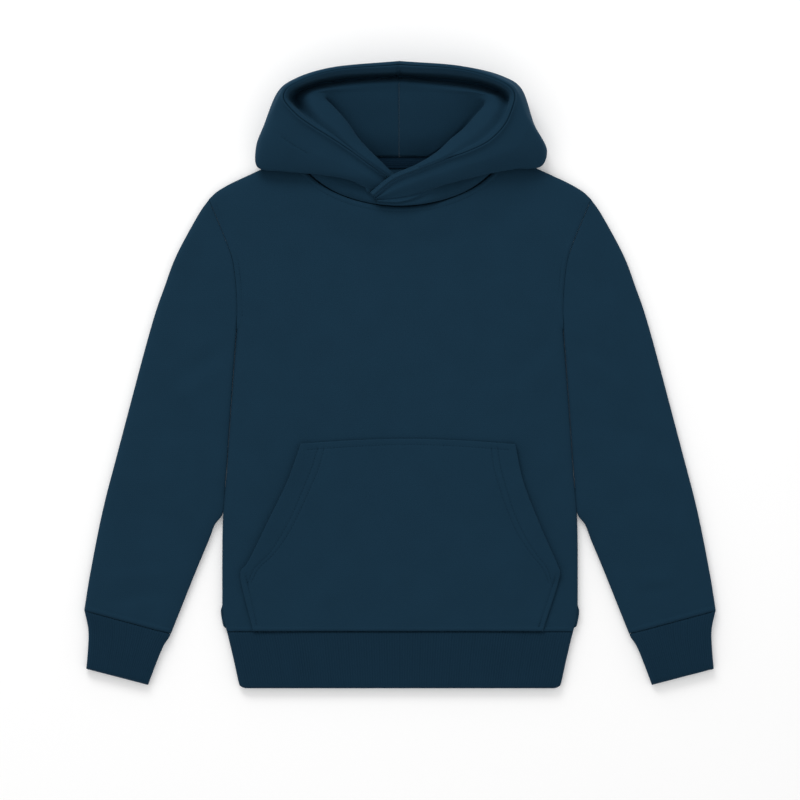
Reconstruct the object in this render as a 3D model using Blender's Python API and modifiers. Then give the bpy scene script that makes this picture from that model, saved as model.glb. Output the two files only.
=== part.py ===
"""Toddler pullover hoodie in brushed fleece, laid flat on its back with the front up.

Every cut piece is its own shell of cloth: front, back, two set-in sleeves, two ribbed cuffs, a ribbed
hem band, a kangaroo pocket, a two-layer hood in halves and the tape over the back neck seam.

Run with: blender --background --python part.py

Frame: +X to the wearer's left, +Y from the hem to the hood, +Z up from the surface that it lies on.
The origin is at the middle of the outline, on that surface. The tables below are in millimetres, with
heights up the garment measured from the hem's lower edge; PLACE turns them into metres in this frame.
"""

import math

import bpy
import numpy as np

# Driving sizes, millimetres
LENGTH = 562.6           # hem's lower edge to the top of the laid-out hood
FLEECE = 1.6             # wall of the body cloth
RIB = 2.2                # wall of the rib, which is folded double
TAPE = 0.8               # wall of the neck tape
SEAM = 0.3               # gap that every seam keeps
BAND_TOP = 51.3          # hem seam
ARMPIT_HEIGHT = 322.0
NECK_HALF = 94.5         # half-width of the neck at the shoulder seams
NECK_SIDE_HEIGHT = 478.0
FRONT_NECK_HEIGHT = 432.8
BACK_NECK_HEIGHT = 475.0
CHEST_HEIGHT = 4.6       # top of the front over the back, mid-chest
EDGE_HEIGHT = 7.0        # the same near the side seams, and the sleeves' height
NECK_HEIGHT = 9.0        # the same at the front neck seam, over the hood's seam allowances
SEAM_LEVEL = 3.3         # height of the side and shoulder seams' upper edge
FRONT_ROLL = 8.0         # width over which the front falls to a side seam
BACK_ROLL = 4.0          # width over which the back rises to it
SKIRT = 1.0              # upright part of a rolled edge, just at the seam
SKIRT_LEAN = 0.15        # how far that part leans in
RIM_GAP = 0.5            # gap of the lining to the outer hood, along the rim's top
NECK_EASE = 0.8          # gap of the hood to the neckline, whose chords cut its corner
SLEEVE_CLEARANCE = 0.7   # between the sleeve and the body's side

MM = 0.001
CLOTH_COLOUR = (0.0075, 0.0290, 0.0530, 1.0)
RIB_COLOUR = (0.0060, 0.0240, 0.0450, 1.0)
TAPE_COLOUR = (0.0070, 0.0270, 0.0500, 1.0)

# Half-width of the body, by height: hem band, side seam, armpit
SIDE = [
    # height, half
    (0.0, 139.5), (1.6, 143.0), (5.0, 145.0), (25.0, 149.4), (47.0, 154.6),
    (63.0, 158.9), (79.0, 159.8), (150.0, 159.4), (195.0, 155.9), (250.0, 152.2), (322.0, 147.0),
]
# The armhole seam, from the shoulder tip to the armpit
ARMHOLE = [
    # x, height
    (171.5, 440.0), (168.6, 432.0), (163.5, 420.0), (154.4, 397.5), (150.0, 383.0),
    (147.4, 362.0), (146.4, 340.0), (147.0, 322.0),
]
# The shoulder seam, from the neck side to the shoulder tip
SHOULDER = [
    # x, height
    (94.5, 478.0), (118.0, 469.5), (137.3, 460.8), (152.6, 453.6), (164.7, 446.4), (171.5, 440.0),
]
# The sleeve's outer fold, from the shoulder tip to the cuff seam
SLEEVE_OUTER = [
    # x, height
    (171.5, 440.0), (181.8, 425.0), (200.7, 390.0), (211.0, 363.0), (224.6, 322.0),
    (253.4, 214.0), (267.3, 160.0), (278.1, 106.0), (284.0, 70.0),
]
# The sleeve's inner fold past the point where it leaves the body's side, to the cuff seam
SLEEVE_LEAVES = 158.0    # height where the sleeve leaves the body
SLEEVE_INNER = [
    # x, height
    (166.5, 147.0), (171.9, 133.0), (183.2, 106.0), (194.0, 79.0), (206.0, 49.0),
]
# The cuff, from its seam to its folded edge
CUFF = [
    # outer x, outer height, inner x, inner height
    (283.4, 69.0, 206.8, 48.3),
    (283.2, 67.2, 207.2, 46.4),
    (280.2, 52.0, 212.4, 38.5),
    (281.0, 30.0, 219.0, 23.0),
    (282.2, 17.5, 226.5, 3.0),
]
# The pocket's left and right edges, from its folded top to the hem seam
POCKET_EDGE = [
    # left x, left height, right x, right height
    (-89.1, 220.0, 103.5, 219.6),
    (-100.8, 187.2, 110.7, 186.3),
    (-117.9, 151.7, 124.8, 149.4),
    (-138.6, 110.7, 142.5, 108.9),
    (-143.1, 105.8, 144.0, 104.4),
    (-132.1, 51.6, 128.2, 51.6),
]
POCKET_TOP_HEIGHT = 224.6    # middle of the slightly arched top

# The hood's outer halves: where each section is sewn, its hidden crease under the droop, the fold that
# shows as the hood's edge with its half-thickness, and the rim of the face opening
HOOD_OUTER = {
    "right": [
        # sewn x, sewn z, crease x, crease y, crease z, fold x, fold y, fold z, half, rim x, rim y, rim z
        (19.0, 9.0, 20.0, 436.6, 9.3, 21.5, 437.4, 9.8, 0.5, 26.5, 441.0, 11.0),
        (0.0, 9.0, 0.5, 436.5, 9.6, 1.0, 439.8, 10.6, 0.8, 9.9, 448.0, 13.4),
        (-21.6, 9.0, -23.0, 440.5, 9.6, -26.1, 447.5, 11.8, 1.3, -5.4, 456.3, 15.8),
        (-41.4, 9.0, -37.5, 464.0, 10.5, -44.1, 455.9, 16.0, 3.2, -23.4, 467.1, 21.5),
        (-61.2, 9.0, -57.0, 471.0, 11.0, -70.2, 460.8, 17.0, 3.6, -45.0, 482.4, 27.0),
        (-81.0, 8.4, -80.0, 479.0, 10.0, -103.5, 464.0, 16.5, 4.0, -63.0, 494.1, 31.5),
        (-92.6, 3.8, -92.0, 487.0, 5.0, -127.8, 468.0, 14.0, 6.0, -79.2, 504.0, 35.0),
        (-82.0, 0.0, -98.0, 489.0, 0.0, -129.2, 486.0, 12.0, 11.9, -92.7, 513.9, 38.0),
        (-62.0, 0.0, -88.0, 493.0, 0.0, -122.0, 505.8, 12.0, 11.9, -104.0, 528.3, 41.0),
        (-46.0, 0.0, -75.0, 505.0, 0.0, -107.5, 537.4, 13.0, 12.9, -101.5, 536.0, 42.5),
        (-32.0, 0.0, -60.0, 515.0, 0.0, -92.7, 547.2, 14.0, 13.9, -88.5, 543.8, 43.0),
        (-17.0, 0.0, -38.0, 520.0, 0.0, -63.0, 556.2, 15.0, 14.9, -60.6, 552.6, 43.0),
        (-1.0, 0.0, -1.0, 520.0, 0.0, -1.0, 562.0, 15.0, 14.9, -1.0, 558.2, 43.0),
    ],
    "left": [
        (-20.5, 15.0, -20.8, 437.6, 15.2, -21.5, 438.8, 15.8, 0.4, -24.0, 442.0, 17.0),
        (0.0, 14.6, 0.8, 437.2, 15.0, 2.7, 441.6, 16.4, 1.0, -5.4, 456.3, 22.5),
        (24.0, 13.2, 23.0, 444.0, 14.4, 28.8, 449.1, 18.0, 2.2, 17.1, 465.3, 26.0),
        (45.0, 9.6, 50.0, 461.5, 11.4, 58.5, 456.8, 17.4, 3.4, 40.5, 474.3, 28.5),
        (63.0, 9.0, 69.0, 472.0, 11.0, 81.0, 462.2, 17.0, 3.8, 61.2, 481.5, 31.0),
        (82.0, 8.4, 84.0, 480.0, 10.0, 103.5, 466.2, 16.5, 4.2, 80.1, 491.0, 33.5),
        (92.6, 3.8, 92.0, 487.0, 5.0, 126.9, 468.9, 14.0, 6.0, 93.6, 504.9, 36.5),
        (82.0, 0.0, 98.0, 489.0, 0.0, 131.9, 483.0, 12.0, 11.9, 99.9, 518.4, 39.0),
        (62.0, 0.0, 88.0, 495.0, 0.0, 120.6, 505.8, 12.0, 11.9, 102.5, 530.1, 41.0),
        (46.0, 0.0, 75.0, 505.0, 0.0, 107.5, 539.3, 13.0, 12.9, 99.5, 537.0, 42.5),
        (32.0, 0.0, 60.0, 515.0, 0.0, 91.8, 548.9, 14.0, 13.9, 85.5, 545.2, 43.0),
        (15.5, 0.0, 38.0, 520.0, 0.0, 58.5, 557.1, 15.0, 14.9, 56.7, 553.4, 43.0),
        (-0.7, 0.0, -0.7, 520.0, 0.0, -0.7, 562.0, 15.0, 14.9, -0.7, 558.2, 43.0),
    ],
}
# The hood's lining: the hollow behind the rim, the crest of the roll or of the fold at the back, the
# edge where it turns down, the foot below that edge and the end of the section
HOOD_LINING = {
    "right": [
        # dip share, dip z, crest x, crest y, crest z, edge x, edge y, edge z, foot x, foot y, foot z, end x, end y, end z
        (0.4, 11.0, 28.6, 442.5, 10.9, 30.2, 443.6, 8.9, 29.2, 442.9, 6.8, 23.0, 439.4, 6.0),
        (0.4, 13.4, 11.8, 449.8, 13.2, 13.3, 451.2, 11.2, 12.4, 450.3, 9.1, 6.0, 444.6, 7.4),
        (0.4, 15.8, -3.2, 457.8, 15.6, -1.6, 459.2, 13.4, -2.6, 458.4, 10.8, -10.0, 452.5, 8.4),
        (0.4, 21.2, -20.6, 470.0, 21.3, -17.4, 473.0, 18.6, -18.2, 472.4, 7.5, -23.0, 469.0, 5.2),
        (0.4, 25.8, -42.3, 486.0, 26.2, -35.6, 491.4, 21.5, -36.2, 490.6, 10.6, -26.5, 477.8, 3.6),
        (0.4, 29.6, -55.8, 500.4, 31.2, -48.3, 508.8, 27.0, -48.4, 507.8, 17.6, -22.8, 477.8, 3.6),
        (0.4, 31.0, -70.2, 512.1, 34.0, -60.3, 522.0, 30.0, -59.6, 520.6, 22.5, -19.6, 477.8, 3.6),
        (0.4, 26.0, -79.2, 522.8, 34.5, -67.5, 529.6, 31.5, -65.0, 527.0, 26.0, -16.4, 477.8, 3.6),
        (0.42, 16.0, -81.9, 530.4, 34.0, -66.0, 533.4, 31.0, -61.0, 528.6, 27.0, -13.4, 477.8, 3.6),
        (0.42, 12.0, -77.0, 534.6, 33.5, -59.5, 534.2, 30.4, -54.0, 528.4, 27.0, -10.6, 477.8, 3.6),
        (0.42, 11.0, -64.0, 537.6, 32.5, -49.5, 534.0, 29.6, -45.0, 528.0, 26.8, -7.6, 477.8, 3.6),
        (0.56, 10.0, -38.0, 541.2, 31.0, -32.0, 534.4, 28.8, -29.0, 527.6, 26.4, -4.4, 477.8, 3.6),
        (0.58, 10.0, -1.0, 543.6, 30.0, -1.0, 535.6, 28.0, -1.0, 528.0, 25.8, -1.0, 477.8, 3.6),
    ],
    "left": [
        (0.4, 17.0, -25.6, 444.0, 16.9, -26.8, 445.5, 14.8, -26.0, 444.6, 12.7, -19.5, 440.6, 12.4),
        (0.4, 22.5, -6.8, 458.8, 22.2, -7.8, 460.4, 20.0, -7.2, 459.4, 17.8, 0.5, 450.0, 16.6),
        (0.4, 26.0, 15.5, 467.6, 25.8, 14.0, 469.7, 22.6, 14.4, 468.8, 13.0, 18.5, 463.5, 11.0),
        (0.4, 28.2, 38.0, 477.0, 28.3, 33.6, 481.2, 24.0, 33.2, 480.8, 9.0, 26.5, 477.8, 3.6),
        (0.4, 30.4, 53.6, 488.2, 31.2, 45.6, 492.4, 26.6, 45.0, 491.2, 11.2, 22.6, 477.8, 3.6),
        (0.4, 31.6, 69.0, 499.3, 33.2, 58.0, 502.4, 29.0, 56.6, 501.4, 15.4, 19.0, 477.8, 3.6),
        (0.4, 32.6, 81.0, 511.8, 34.6, 69.0, 514.6, 30.8, 67.0, 513.0, 21.0, 15.4, 477.8, 3.6),
        (0.4, 32.0, 86.6, 522.8, 34.6, 77.0, 525.0, 31.8, 73.6, 522.4, 25.0, 12.0, 477.8, 3.6),
        (0.42, 22.0, 84.0, 529.6, 34.0, 71.0, 530.4, 31.2, 66.0, 527.0, 27.0, 9.0, 477.8, 3.6),
        (0.42, 14.0, 76.0, 532.8, 33.5, 62.0, 532.4, 30.6, 56.0, 527.4, 27.0, 6.4, 477.8, 3.6),
        (0.42, 11.0, 62.0, 536.0, 32.5, 50.0, 532.6, 29.6, 45.0, 527.4, 26.8, 4.2, 477.8, 3.6),
        (0.56, 10.0, 35.5, 539.8, 31.0, 30.0, 533.6, 28.8, 27.0, 527.6, 26.4, 1.8, 477.8, 3.6),
        (0.58, 10.0, -0.7, 543.6, 30.0, -0.7, 535.6, 28.0, -0.7, 528.0, 25.8, -0.7, 477.8, 3.6),
    ],
}
# The hood's back wall inside, by height, from the neck tape to the fold at the back
BACK_WALL = [
    # height, z
    (477.0, 3.5), (481.0, 6.4), (490.0, 10.4), (505.0, 16.6), (520.0, 22.4), (534.0, 27.4),
]
TAPE_HALF = 62.0         # half-length of the neck tape
ARMHOLE_POINTS = 11      # around an armhole, front or back, shared by panel and sleeve
SHOULDER_POINTS = 5
TAPE_LOW = 467.6
TAPE_HIGH = 477.3


def place(x, height, z):
    """A point in metres in the part's frame, from millimetres and a height up the garment."""
    return (x * MM, (height - LENGTH / 2.0) * MM, z * MM)


def spline(rows, steps):
    """A smooth curve through rows of numbers, as Catmull-Rom with the given steps in each stretch."""
    rows = np.asarray(rows, float)
    padded = np.vstack([2 * rows[0] - rows[1], rows, 2 * rows[-1] - rows[-2]])
    if np.isscalar(steps):
        steps = [steps] * (len(rows) - 1)
    out = []
    for i, count in enumerate(steps):
        p0, p1, p2, p3 = padded[i:i + 4]
        for k in range(count):
            t = k / count
            out.append(0.5 * (2 * p1 + (p2 - p0) * t + (2 * p0 - 5 * p1 + 4 * p2 - p3) * t ** 2
                              + (3 * p1 - p0 - 3 * p2 + p3) * t ** 3))
    out.append(rows[-1])
    return np.array(out)


def along(rows, shares):
    """Points at shares 0 to 1 of the length of the smooth curve through rows."""
    dense = spline(rows, 12)
    step = np.linalg.norm(np.diff(dense[:, :2], axis=0), axis=1)
    length = np.concatenate([[0.0], np.cumsum(step)])
    wanted = np.asarray(shares) * length[-1]
    return np.stack([np.interp(wanted, length, dense[:, k]) for k in range(dense.shape[1])], axis=1)


def unit(vector):
    return vector / np.linalg.norm(vector)


def half_width(height):
    dense = spline(SIDE, 8)
    return float(np.interp(height, dense[:, 0], dense[:, 1]))


def mirrored(rows):
    return [(-x, y) for x, y in rows]


def front_neck_height(x):
    """The front neckline, a shallow arc that steepens to the neck side."""
    u = abs(x) / NECK_HALF
    return FRONT_NECK_HEIGHT + (NECK_SIDE_HEIGHT - FRONT_NECK_HEIGHT) * (0.70 * u ** 2 + 0.30 * u ** 7)


def back_neck_height(x):
    return BACK_NECK_HEIGHT + (NECK_SIDE_HEIGHT - BACK_NECK_HEIGHT) * (x / NECK_HALF) ** 4


def side_seam():
    heights = np.linspace(BAND_TOP, ARMPIT_HEIGHT, 24)
    return np.array([(half_width(h), h) for h in heights])


SEAMS = np.vstack([side_seam(), [(np.nan, np.nan)], spline(SHOULDER, 4)[:, :2]])


def distance(point, line):
    """Distance from a point to a polyline; a row of nan parts it into separate lines."""
    run = line[1:] - line[:-1]
    good = ~np.isnan(run[:, 0])
    start, run = line[:-1][good], run[good]
    share = np.clip(((point - start) * run).sum(1) / (run ** 2).sum(1), 0.0, 1.0)
    return float(np.linalg.norm(point - start - run * share[:, None], axis=1).min())


def smooth(x, low, high):
    t = min(max((x - low) / (high - low), 0.0), 1.0)
    return t * t * (3 - 2 * t)


def roll(gap, width, low, high):
    """Height of a quarter-round fold, from low at the fold itself to high a width away from it."""
    q = min(gap / width, 1.0)
    return low + (high - low) * math.sqrt(max(0.0, 1 - (1 - q) ** 2))


def seam_roll(gap, width, low, high):
    """The same with a short upright skirt, so that the cut edges of two pieces meet squarely."""
    skirt = min(SKIRT, 0.5 * abs(high - low)) * (1 if high > low else -1)
    if gap < SKIRT_LEAN:
        return low + skirt * smooth(gap, 0.3 * SKIRT_LEAN, 0.8 * SKIRT_LEAN)
    return roll(gap - SKIRT_LEAN, width, low + skirt, high)


def front_level(x, height):
    """Top of the front panel away from its side and shoulder seams."""
    level = CHEST_HEIGHT
    level += (EDGE_HEIGHT - CHEST_HEIGHT) * smooth(abs(x), 70.0, 140.0)
    to_hem = 1 - smooth(height, BAND_TOP, BAND_TOP + 110.0)
    level += (EDGE_HEIGHT - level) * 0.6 * to_hem
    to_neck = 1 - smooth(distance(np.array([abs(x), height]), NECKLINE), 2.0, 40.0)
    return level + (NECK_HEIGHT - level) * to_neck


def front_top(x, height):
    """Top of the front panel, rolled down to its side and shoulder seams."""
    gap = distance(np.array([abs(x), height]), SEAMS)
    return seam_roll(gap, FRONT_ROLL, SEAM_LEVEL, front_level(x, height))


NECKLINE = np.array([(x, front_neck_height(x)) for x in np.linspace(0.0, NECK_HALF - 14.0, 12)])


def coons(bottom, top, left, right, across=None, upward=None):
    """Plan points of a patch between four edges, which are rows of x and height.

    across and upward are the shares, 0 to 1, at which the edges' points stand; even where left out.
    """
    rows, columns = len(left), len(bottom)
    across = np.linspace(0, 1, columns) if across is None else across
    upward = np.linspace(0, 1, rows) if upward is None else upward
    grid = np.zeros((rows, columns, 2))
    for i, v in enumerate(upward):
        for j, u in enumerate(across):
            corners = ((1 - u) * (1 - v) * bottom[0] + u * (1 - v) * bottom[-1]
                       + (1 - u) * v * top[0] + u * v * top[-1])
            grid[i, j] = ((1 - v) * bottom[j] + v * top[j] + (1 - u) * left[i] + u * right[i]) - corners
    return grid


def grid_mesh(name, grid, closed=False):
    """A quad mesh over a grid of points in metres; closed joins the last column to the first."""
    rows, columns = grid.shape[:2]
    faces = []
    for i in range(rows - 1):
        for j in range(columns if closed else columns - 1):
            k = (j + 1) % columns
            faces.append((i * columns + j, i * columns + k, (i + 1) * columns + k, (i + 1) * columns + j))
    mesh = bpy.data.meshes.new(name)
    mesh.from_pydata([tuple(p) for p in grid.reshape(-1, 3)], [], faces)
    mesh.shade_smooth()
    return mesh


def material(name, colour, roughness):
    made = bpy.data.materials.new(name)
    made.use_nodes = True
    shader = made.node_tree.nodes["Principled BSDF"]
    shader.inputs["Base Color"].default_value = colour
    shader.inputs["Roughness"].default_value = roughness
    shader.inputs["Metallic"].default_value = 0.0
    return made


def cloth(name, grid, wall, finish, closed=False):
    """A piece of cloth: the grid is its outer face, and Solidify gives it its wall on the other side."""
    mesh = grid_mesh(name, grid, closed)
    piece = bpy.data.objects.new(name, mesh)
    COLLECTION.objects.link(piece)
    mesh.materials.append(material(name, *finish))
    solid = piece.modifiers.new("wall", "SOLIDIFY")
    solid.thickness = wall * MM
    solid.offset = -1.0
    solid.use_even_offset = False
    return piece


def lift(plan, height_of):
    """Grid of placed points from a plan grid and a height function."""
    return np.array([[place(x, y, height_of(x, y)) for x, y in row] for row in plan])


def edge_shares(count, tight):
    """Shares from 0 to 1, closer together at both ends when tight is over 0."""
    even = np.linspace(0.0, 1.0, count)
    return (1 - tight) * even + tight * (1 - np.cos(math.pi * even)) / 2


def body_plan(columns, side_rows, neckline):
    """Plan points of the front or back panel, from the hem seam to the shoulders and the neck."""
    inner = edge_shares(columns - 2, 0.75)
    lean = SKIRT_LEAN / (2 * half_width(ARMPIT_HEIGHT))
    across = np.concatenate([[0.0], lean + (1 - 2 * lean) * inner, [1.0]])
    hem_half = half_width(BAND_TOP)
    bottom = np.stack([(2 * across - 1) * hem_half, np.full(columns, BAND_TOP)], axis=1)
    side_line = along(side_seam(), np.linspace(0, 1, side_rows))
    armhole = along(ARMHOLE, edge_shares(ARMHOLE_POINTS, 1.0))[::-1]
    armhole = np.vstack([armhole[:-1], armhole[-1] - unit(armhole[-1] - armhole[-2]) * SKIRT_LEAN, armhole[-1:]])
    right = np.vstack([side_line[:, :2], armhole[1:]])
    run = np.concatenate([[0.0], np.cumsum(np.linalg.norm(np.diff(right, axis=0), axis=1))])
    shoulder = along(SHOULDER[::-1], np.linspace(0, 1, SHOULDER_POINTS))[:-1]
    lip = shoulder[0] + unit(shoulder[1] - shoulder[0]) * SKIRT_LEAN
    shoulder = np.vstack([shoulder[:1], lip, shoulder[1:]])
    middle = columns - 2 * len(shoulder)
    neck = np.array([(x, neckline(x)) for x in np.linspace(NECK_HALF, -NECK_HALF, middle)])
    top = np.vstack([shoulder, neck, (shoulder * [-1, 1])[::-1]])[::-1]
    return coons(bottom, top, right * [-1, 1], right, across, run / run[-1])


def front_panel():
    plan = body_plan(21, 8, front_neck_height)
    return cloth("front_panel", lift(plan, front_top), FLEECE, FLEECE_FINISH)


def back_top(x, height):
    """Underside of the back panel: flat on the surface, rising only to the side and shoulder seams."""
    gap = distance(np.array([abs(x), height]), SEAMS)
    return seam_roll(gap, BACK_ROLL, SEAM_LEVEL - 2 * SEAM, 0.0)


def back_panel():
    plan = body_plan(17, 6, back_neck_height)
    return cloth("back_panel", lift(plan, back_top)[:, ::-1], FLEECE, FLEECE_FINISH)


def ring(outer, inner, across, outer_roll, inner_roll, high):
    """A flattened tube's section: plan points over its top from the outer fold to the inner one."""
    width = np.linalg.norm(np.asarray(inner) - np.asarray(outer))
    middle = high / 2
    top, bottom = [], []
    for share, point in across:
        from_outer, from_inner = share * width, (1 - share) * width
        gap, size = min((from_outer, outer_roll), (from_inner, inner_roll), key=lambda g: g[0] / g[1])
        top.append(place(*point, roll(gap, size, middle, high)))
        low_size = min(size, BACK_ROLL)
        bottom.append(place(*point, middle - roll(min(from_outer, from_inner), low_size, 0.0, middle)))
    return top + bottom[-2:0:-1]


def tube(outer_rows, inner_rows, first_edge, last_edge, shares, outer_roll, inner_roll, high):
    """Rings of a flattened tube between an outer and an inner fold, whose ends follow two given edges."""
    plan = coons(np.asarray(first_edge), np.asarray(last_edge), np.asarray(outer_rows), np.asarray(inner_rows))
    rings = []
    for row in plan:
        rings.append(ring(row[0], row[-1], list(zip(shares, row)), outer_roll, inner_roll, high))
    return np.array(rings)


def turned(grid, side):
    """The wearer's left piece as it is, the right one mirrored."""
    if side == "left":
        return grid
    flipped = grid * np.array([-1.0, 1.0, 1.0])
    return flipped[:, ::-1]


def sleeve(side):
    shares = edge_shares(ARMHOLE_POINTS, 1.0)
    sleeve_rows = 11
    outer = along(SLEEVE_OUTER, np.linspace(0, 1, sleeve_rows))
    beside = [(half_width(h) + SLEEVE_CLEARANCE, h) for h in np.linspace(ARMPIT_HEIGHT, SLEEVE_LEAVES, 8)]
    inner = along(beside + SLEEVE_INNER, np.linspace(0, 1, sleeve_rows))
    armhole = along(ARMHOLE, shares) + [1.6 * SEAM, -SEAM]
    outer[0], inner[0] = armhole[0], armhole[-1]
    seam = np.array([outer[-1] + (inner[-1] - outer[-1]) * s for s in shares])
    grid = tube(outer, inner, armhole, seam, shares, FRONT_ROLL, 16.0, EDGE_HEIGHT)
    return cloth("sleeve_" + side, turned(grid, side), FLEECE, FLEECE_FINISH, closed=True)


def cuff(side):
    shares = edge_shares(9, 1.0)
    rows = spline(CUFF, 1)
    outer, inner = rows[:, :2], rows[:, 2:]
    first = np.array([outer[0] + (inner[0] - outer[0]) * s for s in shares])
    last = np.array([outer[-1] + (inner[-1] - outer[-1]) * s for s in shares])
    grid = tube(outer, inner, first, last, shares, 5.0, 5.0, EDGE_HEIGHT)
    return cloth("cuff_" + side, turned(grid, side), RIB, RIB_FINISH, closed=True)


def hem_band():
    shares = edge_shares(15, 0.9)
    heights = [BAND_TOP - 2 * SEAM, 48.0, 25.0, 5.0, 1.6, 0.0]
    right = np.array([(half_width(h), h) for h in heights])
    left = right * [-1, 1]
    first = np.array([right[0] + (left[0] - right[0]) * s for s in shares])
    last = np.array([right[-1] + (left[-1] - right[-1]) * s for s in shares])
    grid = tube(right, left, first, last, shares, 6.0, 6.0, EDGE_HEIGHT - 0.4)
    return cloth("hem_band", grid, RIB, RIB_FINISH, closed=True)


def pocket():
    rows = spline(POCKET_EDGE, [2, 2, 2, 1, 2])
    left, right = rows[:, :2], rows[:, 2:]
    shares = np.linspace(0.0, 1.0, 13)
    top = np.array([left[0] + (right[0] - left[0]) * s for s in shares])
    top[:, 1] += (POCKET_TOP_HEIGHT - POCKET_EDGE[0][1]) * np.sin(math.pi * shares)
    bottom = np.array([left[-1] + (right[-1] - left[-1]) * s for s in shares])
    plan = coons(top, bottom, left, right)
    raised = SEAM + FLEECE
    return cloth("pocket", lift(plan, lambda x, y: front_top(x, y) + raised)[:, ::-1], FLEECE, FLEECE_FINISH)


def neck_tape():
    level = FLEECE + SEAM + TAPE
    columns = np.linspace(-TAPE_HALF, TAPE_HALF, 9)
    plan = np.array([[(x, h) for x in columns] for h in (TAPE_LOW, TAPE_HIGH)])
    return cloth("neck_tape", lift(plan, lambda x, y: level), TAPE, TAPE_FINISH)


def outer_section(row):
    """The named points of one section of the hood's outer half, from its seam to the rim."""
    sewn_x, sewn_z, crease_x, crease_y, crease_z, fold_x, fold_y, fold_z, half, rim_x, rim_y, rim_z = row
    at_front = crease_z > 0.0
    sewn_y = (front_neck_height(sewn_x) if at_front else back_neck_height(sewn_x))
    sewn_y += NECK_EASE * (1 + 2.5 * (sewn_x / NECK_HALF) ** 4)
    sewn = np.array([sewn_x, sewn_y, sewn_z])
    crease = np.array([crease_x, crease_y, crease_z])
    fold = np.array([fold_x, fold_y, fold_z])
    rim = np.array([rim_x, rim_y, rim_z])
    out = np.append(unit(fold[:2] - rim[:2]), 0.0)
    back = np.append(unit(crease[:2] - fold[:2]), 0.0) if at_front else -out
    up = np.array([0.0, 0.0, 1.0])
    reach = np.linalg.norm(fold[:2] - rim[:2])
    below = fold + back * half * 0.9 - up * half
    above = fold + (rim - fold) * [0.12, 0.12, 0.0] + up * half
    face = rim + out * max(0.5 * reach, min(2.9, 0.9 * reach))
    face[2] = 0.45 * above[2] + 0.55 * rim[2] + 0.6
    if at_front:
        tip = crease + back * 1.2 + up * 0.5
        over = crease + up * 1.2
    else:
        tip = crease * 0.6 + below * 0.4
        over = crease * 0.3 + below * 0.7
    return np.array([
        sewn, crease, tip, over, below, fold, above, face,
        rim + out * min(3.0, 0.8 * reach) - up * 1.8, rim + out * 1.3, rim,
    ])


def wall_height(y):
    return float(np.interp(y, [h for h, _ in BACK_WALL], [z for _, z in BACK_WALL]))


def lining_section(row, outer_row):
    """The named points of one section of the hood's lining, from the rim to its end."""
    dip_share, dip_z = row[:2]
    crest, edge, foot, end = (np.array(row[k:k + 3]) for k in (2, 5, 8, 11))
    rim = np.array(outer_row[-3:])
    inward = np.append(unit(crest[:2] - rim[:2]), 0.0)
    up = np.array([0.0, 0.0, 1.0])
    dip = rim + (crest - rim) * dip_share
    dip[2] = dip_z
    depth = min(1.0, (rim[2] - dip_z) / 6.0)
    reach = min(1.0, np.linalg.norm(crest[:2] - rim[:2]) / 8.0)
    first, second = foot + (end - foot) / 3, foot + (end - foot) * 2 / 3
    if end[2] < 4.0:
        first[2], second[2] = wall_height(first[1]), wall_height(second[1])
    return np.array([
        rim + inward * RIM_GAP, rim + inward * (RIM_GAP + 1.3 * reach),
        rim + inward * (RIM_GAP + 3.0 * reach) - up * 1.8 * depth,
        dip, crest, edge, foot, first, second, end,
    ])


def loft(sections, row_steps, column_steps):
    """A grid over sections of named points, smooth both ways."""
    rows = spline(np.array([s.reshape(-1) for s in sections]), row_steps)
    grid = []
    for row in rows:
        points = spline(row.reshape(-1, 3), column_steps)
        grid.append([place(*p) for p in points])
    return np.array(grid)


ROW_STEPS = [1, 1, 2, 1, 1, 2, 2, 1, 1, 1, 1, 2]


def hood_outer(side):
    sections = [outer_section(row) for row in HOOD_OUTER[side]]
    grid = loft(sections, ROW_STEPS, [1, 1, 1, 1, 2, 2, 1, 2, 1, 1])
    if side == "left":
        grid = grid[:, ::-1]
    return cloth("hood_outer_" + side, grid, FLEECE, FLEECE_FINISH)


def hood_lining(side):
    sections = [lining_section(row, outer) for row, outer in zip(HOOD_LINING[side], HOOD_OUTER[side])]
    grid = loft(sections, ROW_STEPS, [1, 1, 1, 2, 2, 2, 1, 1, 1])
    if side == "left":
        grid = grid[:, ::-1]
    return cloth("hood_lining_" + side, grid, FLEECE, FLEECE_FINISH)


FLEECE_FINISH = (CLOTH_COLOUR, 0.95)
RIB_FINISH = (RIB_COLOUR, 0.95)
TAPE_FINISH = (TAPE_COLOUR, 0.9)

for old in list(bpy.data.objects):
    bpy.data.objects.remove(old, do_unlink=True)
COLLECTION = bpy.data.collections.new("toddler_hoodie")
bpy.context.scene.collection.children.link(COLLECTION)

front_panel()
back_panel()
pocket()
hem_band()
neck_tape()
for wearer_side in ("left", "right"):
    sleeve(wearer_side)
    cuff(wearer_side)
    hood_outer(wearer_side)
    hood_lining(wearer_side)
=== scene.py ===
"""The looks of a toddler pullover hoodie in navy brushed fleece, laid flat on its back, seen from above.

The tables and the plan functions are those of the part's own script, in millimetres and heights up the
garment, sampled more finely here. Seams, stitching, creases and ribs are added to them. The joins are
closed up: the sleeves, cuffs, hem band and hood halves stand nearer to what they meet than in the part.
"""

import math

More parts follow.
